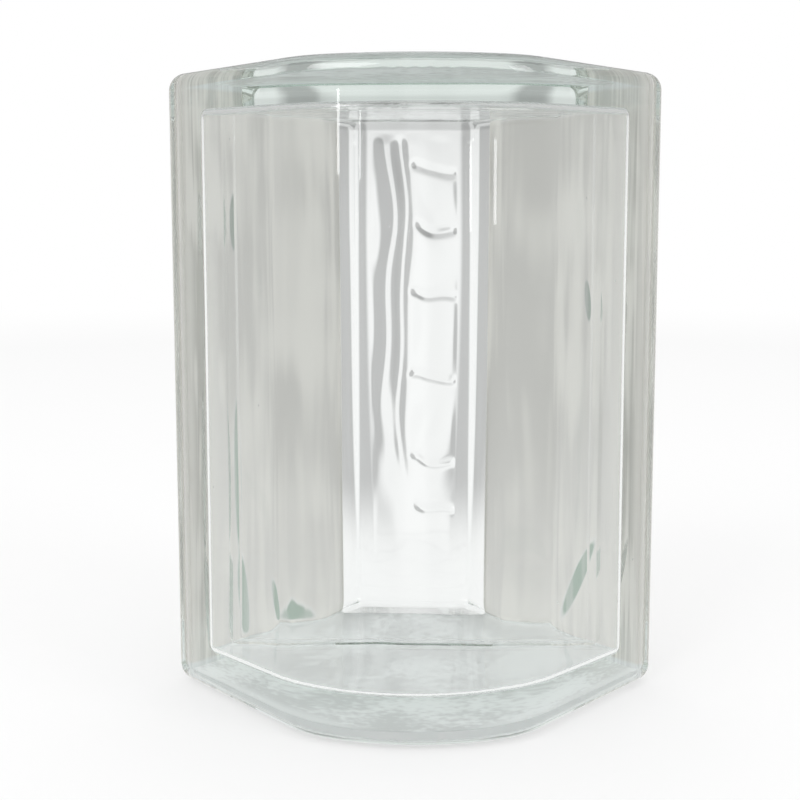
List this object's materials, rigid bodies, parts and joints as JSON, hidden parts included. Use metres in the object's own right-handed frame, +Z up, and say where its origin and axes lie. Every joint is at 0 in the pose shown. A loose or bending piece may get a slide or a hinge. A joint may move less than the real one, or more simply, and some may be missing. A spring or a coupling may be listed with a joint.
{
  "type": "corner glass block",
  "caption": "Hollow clear glass block for turning a right-angled corner in a glass block wall, with a bowed outer face and mortar channels.",
  "frame": {"origin": "middle of the bottom of the block's bounding box, at the level of the bed it stands on", "axes": "+Z up along the height, -Y towards the bowed outer nose, +Y towards the flat room-side face, +X towards one end face"},
  "size_m": [0.149, 0.104, 0.19],
  "materials": {
    "clear_glass": "clear pressed soda-lime glass with a faint grey-green tint"
  },
  "bodies": {
    "root": {"glass_block": "clear_glass"}
  },
  "joints": []
}
